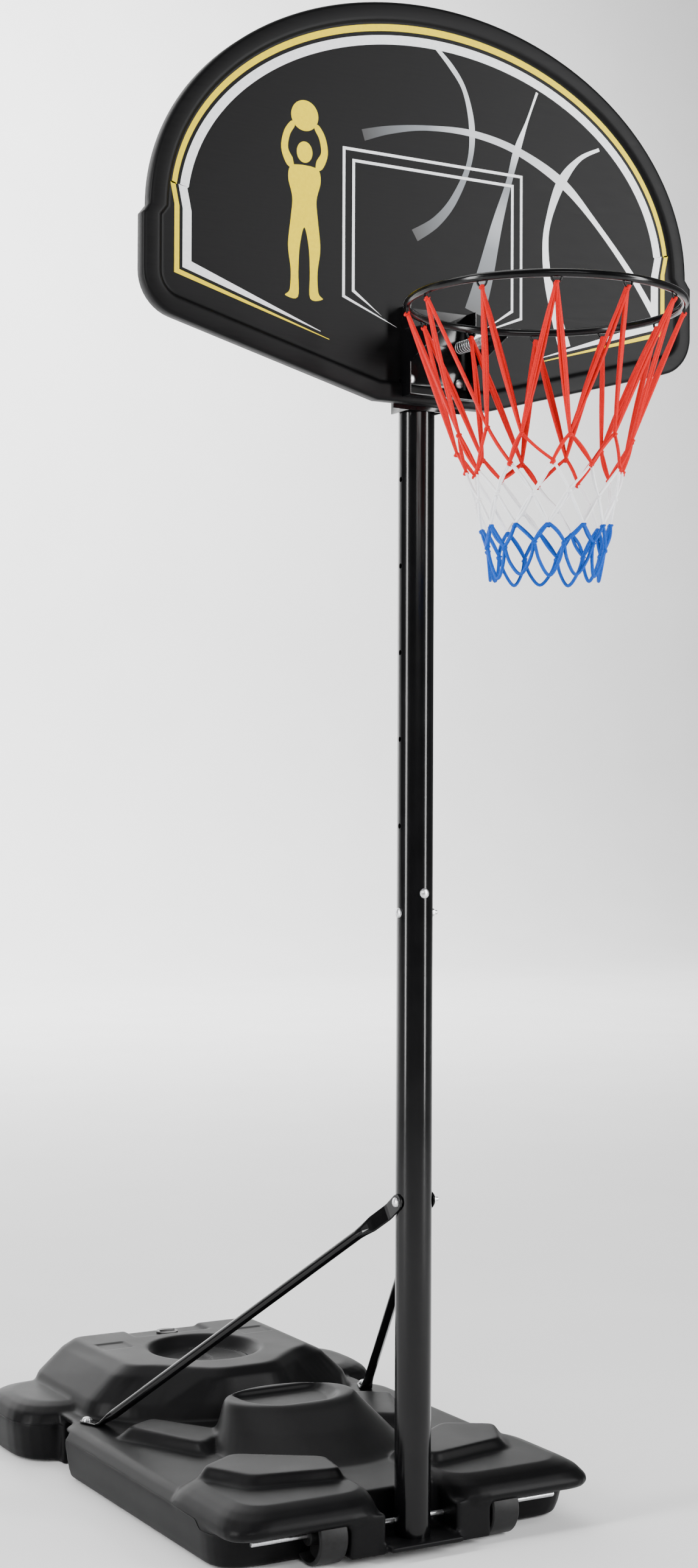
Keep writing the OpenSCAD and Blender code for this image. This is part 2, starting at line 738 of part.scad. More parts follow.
module height_bolts() {
  color([0.8, 0.8, 0.8]) placed() for (z = height_holes)
    translate([-bracket_out, 0, z]) rotate([0, 90, 0]) round_bolt(2 * bracket_out + 12);
}

module height_nuts() {
  color([0.8, 0.8, 0.8]) placed() for (z = height_holes)
    translate([bracket_out, 0, z]) rotate([0, 90, 0]) hex_nut();
}

// ---- rim ----

module ring_solid(r) {
  translate([0, -ring_reach, ring_z])
    rotate_extrude($fn = 96) translate([ring_r, 0]) circle(r = r, $fn = 24);
}

module rim_ring() {
  color([0.05, 0.05, 0.05]) placed() ring_solid(ring_rod_r);
}

// The folded back plate with its side and bottom flanges, and the two arms that carry the ring.
module rim_bracket() {
  arm_y = -ring_reach + sqrt(ring_r * ring_r - plate_half_w * plate_half_w);
  flange_front = plate_front - flange_depth;
  color([0.05, 0.05, 0.05]) placed() difference() {
    union() {
      translate([-plate_half_w, plate_front, plate_low])
        cube([2 * plate_half_w, plate_t, plate_h]);
      translate([-plate_half_w, flange_front, plate_low])
        cube([2 * plate_half_w, flange_depth + 1, plate_t]);
      both_sides() translate([plate_half_w, 0, 0]) rotate([90, 0, -90]) linear_extrude(plate_t)
        polygon([[-plate_front - 1, plate_low], [-flange_front, plate_low],
          [-flange_front, ring_z - 46], [-arm_y, ring_z - 9], [-arm_y, ring_z + 5],
          [-flange_front, ring_z + 12], [-flange_front, plate_low + plate_h],
          [-plate_front - 1, plate_low + plate_h]]);
    }
    ring_solid(ring_rod_r + 0.02);
    both_sides() rod_y(rim_bolt_x, plate_front - 1, plate_back + 1, low_bolt_z, rock_hole);
    both_sides() rod_y(rim_bolt_x, plate_front - 1, plate_back + 1, spring_z, rock_hole);
    for (x = [-36, -12, 12, 36]) translate([x, flange_front + 11, plate_low - 1])
      cylinder(h = plate_t + 2, r = 3);
  }
}

// Wire loops welded under the ring, one for each corner of the net.
module net_hooks() {
  color([0.06, 0.06, 0.06]) placed() for (k = [0:hook_count - 1])
    translate([0, -ring_reach, 0]) rotate([0, 0, k * 360 / hook_count])
      translate([ring_r, 0, hook_z]) rotate([90, 0, 90]) rotate([0, 0, 180])
        rotate_extrude(angle = 180, $fn = 24) translate([hook_r, 0])
          circle(r = hook_wire_d / 2, $fn = 16);
}

// ---- springs and rim fasteners ----

// A coil along +Z, swept as one closed tube.
module coil(len, d, wire, turns) {
  steps = 14;
  sides = 6;
  n = turns * steps;
  r = (d - wire) / 2;
  rise = len - wire;
  lean = atan2(rise / turns, 2 * PI * r);
  points = [for (i = [0:n]) let (a = 360 * i / steps) for (s = [0:sides - 1])
    let (b = 360 * s / sides, c = wire / 2 * cos(b), e = wire / 2 * sin(b))
      [(r + c) * cos(a) + e * sin(lean) * sin(a),
       (r + c) * sin(a) - e * sin(lean) * cos(a),
       wire / 2 + rise * i / n + e * cos(lean)]];
  faces = concat(
    [[for (s = [sides - 1:-1:0]) s]],
    [[for (s = [0:sides - 1]) n * sides + s]],
    [for (i = [0:n - 1]) for (s = [0:sides - 1])
      [i * sides + s, i * sides + (s + 1) % sides, (i + 1) * sides + (s + 1) % sides]],
    [for (i = [0:n - 1]) for (s = [0:sides - 1])
      [i * sides + s, (i + 1) * sides + (s + 1) % sides, (i + 1) * sides + s]]);
  polyhedron(points = points, faces = [for (f = faces) [for (k = [len(f) - 1:-1:0]) f[k]]]);
}

module spring_at(side) {
  translate([side * rim_bolt_x, plate_front, spring_z]) rotate([90, 0, 0])
    translate([0, 0, 0.1]) coil(spring_len - 0.2, spring_d, spring_wire_d, spring_turns);
}

module spring_left() {
  color([0.75, 0.75, 0.76]) placed() spring_at(-1);
}

module spring_right() {
  color([0.75, 0.75, 0.76]) placed() spring_at(1);
}

module spring_bolts() {
  color([0.8, 0.8, 0.8]) placed() both_sides()
    translate([rim_bolt_x, bracket_back, spring_z]) rotate([90, 0, 0])
      round_bolt(bracket_back - bolt_tip, 15);
}

module spring_washers() {
  color([0.8, 0.8, 0.8]) placed() both_sides()
    translate([rim_bolt_x, spring_tip, spring_z]) rotate([90, 0, 0]) washer(washer_r, washer_t);
}

module spring_nuts() {
  color([0.78, 0.78, 0.78]) placed() both_sides()
    translate([rim_bolt_x, spring_tip - washer_t, spring_z]) rotate([90, 0, 0])
      hex_nut(2 * nut_t - 1);
}

module rim_lower_bolts() {
  color([0.82, 0.82, 0.82]) placed() both_sides()
    translate([rim_bolt_x, plate_front - head_gap, low_bolt_z]) rotate([-90, 0, 0])
      round_bolt(bracket_back - plate_front + head_gap + 10);
}

module rim_lower_nuts() {
  color([0.78, 0.78, 0.78]) placed() both_sides()
    translate([rim_bolt_x, bracket_back, low_bolt_z]) rotate([-90, 0, 0]) hex_nut();
}

// ---- net ----

// Share of the net's drop where its colours change.
net_changes = [0, 0.56, 0.76, 1];

// Radius of the net at a share t of its drop: it falls in quickly, then hangs nearly straight.
function net_radius(t) = net_end_r + (ring_r - 4 - net_end_r) * pow(1 - t, 1.35);

function net_height(t) = net_top_z + (net_low_z - net_top_z) * t;

module net_band(i) {
  t0 = net_changes[i];
  t1 = net_changes[i + 1];
  n = 6;
  gap = 0.2 / (net_top_z - net_low_z);
  outer = [for (k = [0:n]) let (t = t0 + gap + (t1 - t0 - 2 * gap) * k / n)
    [net_radius(t), net_height(t)]];
  translate([0, -ring_reach, 0]) rotate_extrude($fn = 72) polygon(concat(
    outer, [for (k = [n:-1:0]) outer[k] - [net_t, 0]]));
}

module net_red() {
  color([0.86, 0.12, 0.16]) placed() net_band(0);
}

module net_white() {
  color([0.92, 0.93, 0.95]) placed() net_band(1);
}

module net_blue() {
  color([0.1, 0.36, 0.69]) placed() net_band(2);
}

base_tank();
filler_plug();
axle_rod();
wheel_left();
wheel_right();
pole_lower();
pole_upper();
pole_top_cap();
pole_joint_bolts();
pole_joint_nuts();
brace_left();
brace_right();
brace_pole_bolt();
brace_pole_nut();
brace_foot_bolts();
brace_foot_washers();
brace_foot_nuts();
backboard();
pole_bracket();
height_bolts();
height_nuts();
rim_ring();
rim_bracket();
net_hooks();
spring_left();
spring_right();
spring_bolts();
spring_washers();
spring_nuts();
rim_lower_bolts();
rim_lower_nuts();
net_red();
net_white();
net_blue();
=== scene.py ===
import bpy, bmesh, math, random
from mathutils import Matrix, Vector, bvhtree


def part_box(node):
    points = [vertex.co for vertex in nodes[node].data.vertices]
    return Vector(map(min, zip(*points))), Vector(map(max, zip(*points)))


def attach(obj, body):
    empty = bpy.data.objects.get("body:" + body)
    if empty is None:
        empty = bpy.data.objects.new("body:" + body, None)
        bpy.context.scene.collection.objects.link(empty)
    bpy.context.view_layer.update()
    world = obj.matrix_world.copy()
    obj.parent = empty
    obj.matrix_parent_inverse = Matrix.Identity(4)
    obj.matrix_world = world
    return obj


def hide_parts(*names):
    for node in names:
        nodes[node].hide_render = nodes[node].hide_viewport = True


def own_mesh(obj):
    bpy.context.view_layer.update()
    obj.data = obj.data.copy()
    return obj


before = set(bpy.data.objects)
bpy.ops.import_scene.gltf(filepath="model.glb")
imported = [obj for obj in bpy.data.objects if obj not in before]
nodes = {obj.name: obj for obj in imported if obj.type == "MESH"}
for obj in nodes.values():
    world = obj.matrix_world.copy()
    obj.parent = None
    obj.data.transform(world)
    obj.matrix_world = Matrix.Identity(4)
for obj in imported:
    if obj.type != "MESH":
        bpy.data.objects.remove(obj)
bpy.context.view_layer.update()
scene = bpy.context.scene

# ---------------------------------------------------------------------------
# Camera: a long lens a little above waist height, to the left of the pole and
# level with the braces, turned to the right.
pole_low, pole_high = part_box("pole_lower")
pole_y = (pole_low.y + pole_high.y) / 2
camera_data = bpy.data.cameras.new("camera")
camera = bpy.data.objects.new("camera", camera_data)
scene.collection.objects.link(camera)
camera_data.sensor_width = 36.0
camera_data.lens = 53.31
camera.location = (-2.1196, -3.5038 + pole_y, 1.2954)
camera.rotation_euler = (Matrix.Rotation(-0.5156, 3, "Z") @ Matrix.Rotation(math.pi / 2 + 0.0124, 3, "X")
                         @ Matrix.Rotation(0.0040, 3, "Z")).to_euler()
scene.camera = camera

# ---------------------------------------------------------------------------
# Ballast tank: one hollow shell of blow-moulded polyethylene. The mould leaves
# soft shoulders, pressed-in dishes, a fine pebble grain and a parting line.


def linear(code, alpha=1.0):
    """An sRGB hex value as linear red, green, blue and alpha."""
    parts = [int(code[i:i + 2], 16) / 255 for i in (0, 2, 4)]
    return tuple(c / 12.92 if c <= 0.04045 else ((c + 0.055) / 1.055) ** 2.4 for c in parts) + (alpha,)


def add_node(material, kind, settings=None, links=None, stops=None):
    """Adds a shader node, sets its values and joins other nodes' outputs to its inputs."""
    node = material.node_tree.nodes.new("ShaderNode" + kind)
    for key, value in (settings or {}).items():
        if isinstance(key, str) and hasattr(node, key):
            setattr(node, key, value)
        else:
            node.inputs[key].default_value = value
    for key, source in (links or {}).items():
        material.node_tree.links.new(source, node.inputs[key])
    if stops:
        ramp = node.color_ramp.elements
        while len(ramp) < len(stops):
            ramp.new(0.5)
        for element, (place, colour) in zip(ramp, stops):
            element.position = place
            element.color = colour
    return node


def start_material(name):
    """An empty material and the object coordinates that its patterns are measured in, in metres."""
    material = bpy.data.materials.new(name)
    material.use_nodes = True
    material.node_tree.nodes.clear()
    return material, add_node(material, "TexCoord").outputs["Object"]


def finish_material(material, settings, links):
    shader = add_node(material, "BsdfPrincipled", settings, links)
    add_node(material, "OutputMaterial", {}, {"Surface": shader.outputs[0]})
    return material


def add_piece(name, verts, faces, material, body, smooth_angle=35):
    """A mesh object in metres that rides on a body and takes the material it is given."""
    mesh = bpy.data.meshes.new(name)
    mesh.from_pydata([tuple(v) for v in verts], [], faces)
    mesh.validate()
    tidy = bmesh.new()
    tidy.from_mesh(mesh)
    bmesh.ops.recalc_face_normals(tidy, faces=tidy.faces)
    tidy.to_mesh(mesh)
    tidy.free()
    piece = bpy.data.objects.new(name, mesh)
    scene.collection.objects.link(piece)
    mesh.materials.append(material)
    soften_shading(piece, smooth_angle)
    if body:
        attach(piece, body)
    return piece


def soften_shading(piece, angle):
    """Smooth shading, with edges sharper than the angle left crisp."""
    mesh = piece.data
    mesh.polygons.foreach_set("use_smooth", [True] * len(mesh.polygons))
    mesh.set_sharp_from_angle(angle=math.radians(angle))


def apply_modifier(piece, kind, **settings):
    """Adds a modifier and makes its result the piece's mesh."""
    modifier = piece.modifiers.new(kind.lower(), kind)
    for key, value in settings.items():
        setattr(modifier, key, value)
    shape = piece.evaluated_get(bpy.context.evaluated_depsgraph_get())
    result = bpy.data.meshes.new_from_object(shape)
    piece.modifiers.clear()
    old = piece.data
    piece.data = result
    bpy.data.meshes.remove(old)
    return piece


def soft_poly(points, reach, steps=4):
    """A polygon in mm whose corners are rounded from reach before each corner to reach after it."""
    out = []
    for i, p in enumerate(points):
        p = Vector(p)
        before = p + (Vector(points[i - 1]) - p).normalized() * reach
        after = p + (Vector(points[(i + 1) % len(points)]) - p).normalized() * reach
        for k in range(steps + 1):
            t = k / steps
            out.append((1 - t) ** 2 * before + 2 * t * (1 - t) * p + t * t * after)
    return out


def soft_rect(x0, x1, y0, y1, reach):
    return soft_poly([(x1, y0), (x1, y1), (x0, y1), (x0, y0)], reach * 1.5, 6)


def oval(cy, rx, ry, count=48):
    return [Vector((rx * math.cos(2 * math.pi * i / count), cy + ry * math.sin(2 * math.pi * i / count)))
            for i in range(count)]


def both_halves(points):
    return points + [(-x, y) for x, y in reversed(points)]


def loft(levels):
    """Vertices and faces of a solid skinned over outlines in mm at rising heights."""
    count = len(levels[0][0])
    verts = [(p[0] / 1000, p[1] / 1000 + pole_y, z / 1000) for outline, z in levels for p in outline]
    faces = [list(range(count))[::-1], [(len(levels) - 1) * count + i for i in range(count)]]
    for k in range(len(levels) - 1):
        for i in range(count):
            j = (i + 1) % count
            faces.append([k * count + i, k * count + j, (k + 1) * count + j, (k + 1) * count + i])
    return verts, faces


def block(x0, x1, y0, y1, z0, z1):
    return loft([(soft_poly([(x1, y0), (x1, y1), (x0, y1), (x0, y0)], 0.5, 1), z) for z in (z0, z1)])


def gather(name, solids, mirrored=()):
    """One object that holds all the solids, and the mirrored ones on both sides."""
    verts, faces = [], []
    turned = [([(-x, y, z) for x, y, z in v], [f[::-1] for f in fs]) for v, fs in mirrored]
    for v, fs in list(solids) + list(mirrored) + turned:
        faces += [[i + len(verts) for i in f] for f in fs]
        verts += v
    return add_piece(name, verts, faces, None, None)


deck, block_top, mound_top = 100, 190, 175
seam, ledge, pad_top, bay, well_in, well_out = 72, 119, 138, 72, 143, 207


def slab(half, y0, y1, reach, top, foot, shoulder):
    return loft([(soft_rect(-half + d, half - d, y0 + d, y1 - d, reach), z) for d, z in (
        (foot, 0.4), (foot * 0.45, 6), (8, 24), (1.5, seam - 12), (0, seam), (0, seam + 8),
        (shoulder * 0.2, top - 15), (shoulder * 0.55, top - 5), (shoulder, top))])


def fender():
    ledge_part = loft([
        (soft_rect(bay, 366, -28, 235, 34), seam - 2), (soft_rect(bay, 370, -40, 245, 40), seam + 8),
        (soft_rect(bay, 370, -41, 245, 42), seam + 16), (soft_rect(bay, 367, -38, 244, 44), ledge - 26),
        (soft_rect(bay + 2, 358, -29, 240, 44), ledge - 15),
        (soft_rect(bay + 6, 342, -14, 234, 42), ledge - 6),
        (soft_rect(bay + 12, 322, 4, 228, 38), ledge)])
    pad = loft([
        (soft_poly([(84, 66), (284, 98), (332, 214), (228, 286), (74, 182)], 20), ledge - 14),
        (soft_poly([(97, 84), (256, 116), (307, 210), (222, 262), (84, 168)], 17), pad_top)])
    rib = block(bay, well_in, -34, 82, 14, seam + 12)
    return [ledge_part, pad, rib]


side_pad = loft([
    (soft_poly([(98, 455), (212, 372), (322, 590), (222, 652)], 24), deck - 8),
    (soft_poly([(133, 466), (214, 405), (290, 572), (220, 610)], 18), deck + 22)])
rear_block = loft([
    (soft_poly(both_halves([(80, 592), (220, 642), (302, 742), (302, 1061)]), 34), deck - 10),
    (soft_poly(both_halves([(72, 613), (205, 673), (286, 741), (286, 1059)]), 34), deck + 28),
    (soft_poly(both_halves([(66, 631), (166, 717), (236, 742), (232, 1057)]), 30), block_top - 16),
    (soft_poly(both_halves([(62, 649), (152, 735), (202, 755), (208, 1047)]), 30), block_top)])
mound = loft([(oval(372, 196, 200), deck - 10), (oval(392, 180, 176), deck + 6),
              (oval(424, 156, 132), (deck + mound_top) / 2 + 2), (oval(452, 139, 97), mound_top - 10),
              (oval(458, 134, 88), mound_top - 3), (oval(460, 129, 81), mound_top)])
tank = gather("tank_shell", [
    slab(369, 31, 759, 40, deck, 30, 25), slab(411, 801, 1069, 60, deck + 14, 30, 40),
    block(-330, 330, 700, 860, 0.4, deck - 1), rear_block, mound,
    block(-bay - 1, bay + 1, -55, 60, 18.4, 30)], fender() + [side_pad])
apply_modifier(tank, "REMESH", mode="VOXEL", voxel_size=0.0036, use_smooth_shade=True)


def turned_dish():
    """The round dish in the rear block, wider at its mouth."""
    ring = lambda r: [Vector((p[0], p[1])) for p in oval(835, r, r, 64)]
    return loft([(ring(60), 158.5), (ring(84), 160.5), (ring(98), 168), (ring(108), 180), (ring(118), 190.5),
                 (ring(121), 194)])


# the cuts stand this far off the walls that they run along, so no two faces coincide
off = 0.37
wheel_well = block(well_in - off, well_out + off, -70, 81 + off, -5, 110)
flare = ([(x / 1000, y / 1000 + pole_y, z / 1000) for y in (-70, -17)
          for x, z in ((well_out - 2, 110), (235, 70), (235, -5), (well_out - 2, -5))],
         [[0, 1, 2, 3], [7, 6, 5, 4], [0, 4, 5, 1], [1, 5, 6, 2], [2, 6, 7, 3], [3, 7, 4, 0]])
cutters = gather("tank_cutters", [
    turned_dish(),
    loft([(soft_poly(both_halves([(48, 402), (82, 440), (90, 516)]), 24), mound_top - 13),
          (soft_poly(both_halves([(60, 388), (104, 436), (108, 524)]), 24), mound_top + 3)]),
    block(-84, 84, 985, 1105, 183, 250), block(-bay - off, bay + off, -80, 52 + off, 30 + off, 250),
    block(-bay - off, bay + off, -80, 30 + off, -5, 18 + off)],
    [wheel_well, flare, block(288 - off, 400, 693 + off, 793 - off, -5, 88 + off)])
apply_modifier(tank, "BOOLEAN", operation="DIFFERENCE", object=cutters, solver="FAST")
bpy.data.objects.remove(cutters)
apply_modifier(tank, "REMESH", mode="VOXEL", voxel_size=0.0036, use_smooth_shade=True)
apply_modifier(tank, "SMOOTH", factor=0.5, iterations=5)


def press_in(mesh):
    """The two shallow rectangles beside the dish and the curved step inside it."""
    for v in mesh.vertices:
        x, y, z = abs(v.co.x * 1000), (v.co.y - pole_y) * 1000, v.co.z * 1000
        if 128 < x < 194 and 901 < y < 957 and z > 180:
            edge = min(x - 128, 194 - x, y - 901, 957 - y)
            v.co.z -= 0.0022 * min(1.0, edge / 4)
        across, along = v.co.x * 1000, y - 835
        if math.hypot(across, along) < 92 and z < 172 and z > 150 and y > 700:
            if math.hypot(across + 70, along - 40) > 96:
                v.co.z += 0.004


press_in(tank.data)
soften_shading(tank, 80)

tank_plastic, place = start_material("moulded_black_polyethylene")
# a pebble grain of about 1 mm is too fine to show, so it is drawn at 2.2 mm
grain = add_node(tank_plastic, "TexNoise", {"Scale": 1000 / 2.2, "Detail": 3.0, "Roughness": 0.6},
    {"Vector": place})
# the skin's gloss wanders over patches of about 120 mm, as the mould cools it
patches = add_node(tank_plastic, "TexNoise", {"Scale": 1000 / 120, "Detail": 4.0}, {"Vector": place})
tint = add_node(tank_plastic, "ValToRGB", {}, {"Fac": patches.outputs["Fac"]},
                [(0.3, linear("060607")), (0.72, linear("0D0D0E"))])
gloss = add_node(tank_plastic, "MapRange", {"To Min": 0.36, "To Max": 0.5}, {"Value": patches.outputs["Fac"]})
relief = add_node(tank_plastic, "Bump", {"Strength": 0.22, "Distance": 0.0006},
    {"Height": grain.outputs["Fac"]})
finish_material(tank_plastic, {"IOR": 1.54, "Specular IOR Level": 0.09}, {
    "Base Color": tint.outputs["Color"], "Roughness": gloss.outputs["Result"],
    "Normal": relief.outputs["Normal"]})
tank.data.materials.clear()
tank.data.materials.append(tank_plastic)
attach(tank, "stand")
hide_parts("base_tank")


# The parting line: a thin bead of flash that runs round the tank where the mould
# halves met. It drops near the front corners and makes a V in each side notch.
def add_tube(name, paths, radius, material, body, sides=8, closed=False):
    """Round cord, wire or bead along lists of points in metres, as one mesh."""
    verts, faces = [], []
    for path in paths:
        path = [Vector(p) for p in path]
        start, up = len(verts), None
        last = len(path) - 1
        for i, p in enumerate(path):
            if closed:
                ahead = (path[(i + 1) % len(path)] - path[i - 1]).normalized()
            else:
                ahead = (path[min(i + 1, last)] - path[max(i - 1, 0)]).normalized()
            if up is None:
                up = ahead.orthogonal().normalized()
            up = (up - up.dot(ahead) * ahead).normalized()
            side = ahead.cross(up)
            for k in range(sides):
                a = 2 * math.pi * k / sides
                verts.append(p + radius * (math.cos(a) * up + math.sin(a) * side))
        rows = len(path) if closed else last
        for i in range(rows):
            for k in range(sides):
                a, b = start + i * sides, start + ((i + 1) % len(path)) * sides
                faces.append([a + k, a + (k + 1) % sides, b + (k + 1) % sides, b + k])
        if not closed:
            faces.append([start + k for k in range(sides)][::-1])
            faces.append([start + last * sides + k for k in range(sides)])
    return add_piece(name, verts, faces, material, body, 60)


surface = bvhtree.BVHTree.FromObject(tank, bpy.context.evaluated_depsgraph_get())
seam_route = []
for side in (-1, 1):
    line = []
    for y in range(-20, 1071, 6):
        z = 80 if y > 110 else 80 - 14 * min(1, (110 - y) / 14)
        if 716 < y < 800:
            z = 80 - 30 * (1 - abs(y - 758) / 42)
        hit = surface.ray_cast(Vector((side * 0.6, y / 1000 + pole_y, z / 1000)), Vector((-side, 0, 0)))[0]
        if hit and abs(hit.x) > 0.2:
            line.append(hit + Vector((side * 0.0001, 0, 0)))
    seam_route.append(line)
rear_line = []
for x in range(-396, 397, 6):
    hit = surface.ray_cast(Vector((x / 1000, pole_y + 1.3, 0.08)), Vector((0, -1, 0)))[0]
    if hit:
        rear_line.append(hit + Vector((0, 0.0001, 0)))
seam_route.append(rear_line)
add_tube("tank_parting_line", seam_route, 0.0011, tank_plastic, "stand", 6)

# ---------------------------------------------------------------------------
# Filler plug: a black moulded plug with a finger bar, screwed into the tank's
# filler hole. The pole's top cap is moulded from the same plastic.
cap_plastic, place = start_material("moulded_black_cap_plastic")
mottle = add_node(cap_plastic, "TexNoise", {"Scale": 1000 / 9, "Detail": 3.0}, {"Vector": place})
tint = add_node(cap_plastic, "ValToRGB", {}, {"Fac": mottle.outputs["Fac"]},
                [(0.3, linear("0A0A0A")), (0.7, linear("121213"))])
fine = add_node(cap_plastic, "Bump", {"Strength": 0.2, "Distance": 0.0002}, {"Height": mottle.outputs["Fac"]})
finish_material(cap_plastic, {"Roughness": 0.38, "IOR": 1.5},
                {"Base Color": tint.outputs["Color"], "Normal": fine.outputs["Normal"]})


def bevelled(node_name, width, material, body, angle=30, segments=3):
    """A copy of a CAD piece with its hard edges rounded over, in its place."""
    piece = bpy.data.objects.new(node_name + "_finished", nodes[node_name].data.copy())
    scene.collection.objects.link(piece)
    work = bmesh.new()
    work.from_mesh(piece.data)
    bmesh.ops.remove_doubles(work, verts=work.verts, dist=0.00002)
    bmesh.ops.dissolve_limit(work, angle_limit=math.radians(1.0), verts=work.verts, edges=work.edges)
    work.to_mesh(piece.data)
    work.free()
    apply_modifier(piece, "BEVEL", width=width, segments=segments, limit_method="ANGLE",
                   angle_limit=math.radians(angle), use_clamp_overlap=True)
    piece.data.materials.clear()
    piece.data.materials.append(material)
    soften_shading(piece, 40)
    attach(piece, body)
    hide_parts(node_name)
    return piece


def coat(material, *names, angle=40):
    """Gives CAD pieces their finish and smooth shading."""
    for name in names:
        nodes[name].data.materials.clear()
        nodes[name].data.materials.append(material)
        soften_shading(nodes[name], angle)


bevelled("filler_plug", 0.0008, cap_plastic, "filler_plug")
bevelled("pole_top_cap", 0.0012, cap_plastic, "stand")

# ---------------------------------------------------------------------------
# Wheels and axle: two moulded polyethylene wheels that turn on a plain zinc
# plated steel rod, which passes through the tank's ribs and the pole's foot.
wheel_plastic, place = start_material("moulded_wheel_polyethylene")
scuffs = add_node(wheel_plastic, "TexNoise", {"Scale": 1000 / 14, "Detail": 6.0, "Roughness": 0.7},
    {"Vector": place})
tint = add_node(wheel_plastic, "ValToRGB", {}, {"Fac": scuffs.outputs["Fac"]},
                [(0.35, linear("0E0E0E")), (0.75, linear("1C1C1D"))])
gloss = add_node(wheel_plastic, "MapRange", {"To Min": 0.36, "To Max": 0.6}, {"Value": scuffs.outputs["Fac"]})
relief = add_node(wheel_plastic, "Bump", {"Strength": 0.25, "Distance": 0.0004},
    {"Height": scuffs.outputs["Fac"]})
finish_material(wheel_plastic, {"IOR": 1.54, "Specular IOR Level": 0.2}, {
    "Base Color": tint.outputs["Color"], "Roughness": gloss.outputs["Result"],
    "Normal": relief.outputs["Normal"]})
for wheel in ("wheel_left", "wheel_right"):
    bevelled(wheel, 0.0007, wheel_plastic, wheel)

zinc_steel, place = start_material("zinc_plated_steel")
# plating spangle of about 3 mm
spangle = add_node(zinc_steel, "TexNoise", {"Scale": 1000 / 3, "Detail": 4.0}, {"Vector": place})
tint = add_node(zinc_steel, "ValToRGB", {}, {"Fac": spangle.outputs["Fac"]},
                [(0.3, linear("BFC0C2")), (0.7, linear("E2E3E4"))])
gloss = add_node(zinc_steel, "MapRange", {"To Min": 0.24, "To Max": 0.42}, {"Value": spangle.outputs["Fac"]})
finish_material(zinc_steel, {"Metallic": 1.0},
                {"Base Color": tint.outputs["Color"], "Roughness": gloss.outputs["Result"]})
coat(zinc_steel, "axle_rod")

# ---------------------------------------------------------------------------
# Pole: two sections of round steel tube, powder coated gloss black. The lower
# one's swaged neck sits inside the upper, held by two bolts.
black_coat, place = start_material("gloss_black_powder_coat")
# orange peel of about 3 mm
peel = add_node(black_coat, "TexNoise", {"Scale": 1000 / 3, "Detail": 2.0}, {"Vector": place})
drift = add_node(black_coat, "TexNoise", {"Scale": 1000 / 60, "Detail": 3.0}, {"Vector": place})
gloss = add_node(black_coat, "MapRange", {"To Min": 0.13, "To Max": 0.2}, {"Value": drift.outputs["Fac"]})
tint = add_node(black_coat, "ValToRGB", {}, {"Fac": drift.outputs["Fac"]},
                [(0.3, linear("050506")), (0.7, linear("0A0A0B"))])
relief = add_node(black_coat, "Bump", {"Strength": 0.05, "Distance": 0.0001}, {"Height": peel.outputs["Fac"]})
finish_material(black_coat, {"IOR": 1.5, "Specular IOR Level": 0.2, "Coat Weight": 0.08,
    "Coat Roughness": 0.12}, {
    "Base Color": tint.outputs["Color"], "Roughness": gloss.outputs["Result"],
    "Normal": relief.outputs["Normal"]})
coat(black_coat, "pole_lower", "pole_upper")
coat(zinc_steel, "pole_joint_bolts")
bevelled("pole_joint_nuts", 0.0005, zinc_steel, "stand")

# ---------------------------------------------------------------------------
# Braces: two round steel tubes with flattened, drilled ends. One bolt holds both
# to the pole's sides, and a bolt through each foot holds it to the deck.
coat(black_coat, "brace_left", "brace_right", angle=50)
coat(zinc_steel, "brace_pole_bolt", "brace_foot_bolts", "brace_foot_washers")
bevelled("brace_pole_nut", 0.0005, zinc_steel, "stand")
bevelled("brace_foot_nuts", 0.0005, zinc_steel, "stand")

# ---------------------------------------------------------------------------
# Backboard: a hollow moulded panel with a raised, rounded border and stiffening
# channels behind. Its front field carries screen-printed lines.
board_low, board_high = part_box("backboard")
board_bottom = board_low.z * 1000
border_front, board_back = (board_low.y - pole_y) * 1000, (board_high.y - pole_y) * 1000
field = border_front + 6


def arc(cx, cy, rx, ry, a0, a1, count):
    return [(cx + rx * math.cos(math.radians(a0 + (a1 - a0) * i / count)),
             cy + ry * math.sin(math.radians(a0 + (a1 - a0) * i / count))) for i in range(count + 1)]


def board_outline(d):
    """The board's outline drawn in by d mm, as points across and up."""
    half, tilt, low = 558 - d, math.atan(0.267), board_bottom + d
    reach = max(75 - d, 12)
    flat = 115 - d * math.tan(tilt / 2)
    cx = half - reach
    cz = low + 0.267 * (cx - flat) + reach / math.cos(tilt)
    step = board_bottom + 270
    right = ([(flat, low)] + arc(cx, cz, reach, reach, math.degrees(tilt) - 90, 0, 10)
             + arc(half - 5, step - 5, 5, 5, 0, 60, 4))
    top = arc(0, step + 12, 546 - d, 415 - d, 0, 180, 96)
    return right + top + [(-x, z) for x, z in reversed(right)]


def board_point(x, y, z):
    return (x / 1000, y / 1000 + pole_y, z / 1000)


profile = [(6, board_back), (2, board_back - 1.2), (0.4, board_back - 4), (0.4, field - 1),
    (1.2, border_front + 2.6),
           (3.4, border_front + 0.7), (7, border_front), (25, border_front), (29, border_front + 0.6),
           (31.5, border_front + 2), (33.5, border_front + 4.6), (36, field - 0.3), (40, field)]
rings = [[board_point(x, y, z) for x, z in board_outline(d)] for d, y in profile]
count = len(rings[0])
verts = [p for ring in rings for p in ring]
faces = [[i for i in range(count)], [(len(rings) - 1) * count + i for i in range(count)][::-1]]
for k in range(len(rings) - 1):
    for i in range(count):
        j = (i + 1) % count
        faces.append([k * count + i, (k + 1) * count + i, (k + 1) * count + j, k * count + j])

board_plastic, place = start_material("moulded_black_board_plastic")
# faint draw marks, about 4 mm apart, run across the sheet
stretch = add_node(board_plastic, "Mapping", {"Scale": (0.06, 1.0, 1.0)}, {"Vector": place})
draw = add_node(board_plastic, "TexNoise", {"Scale": 1000 / 4, "Detail": 3.0}, {"Vector": stretch.outputs[0]})
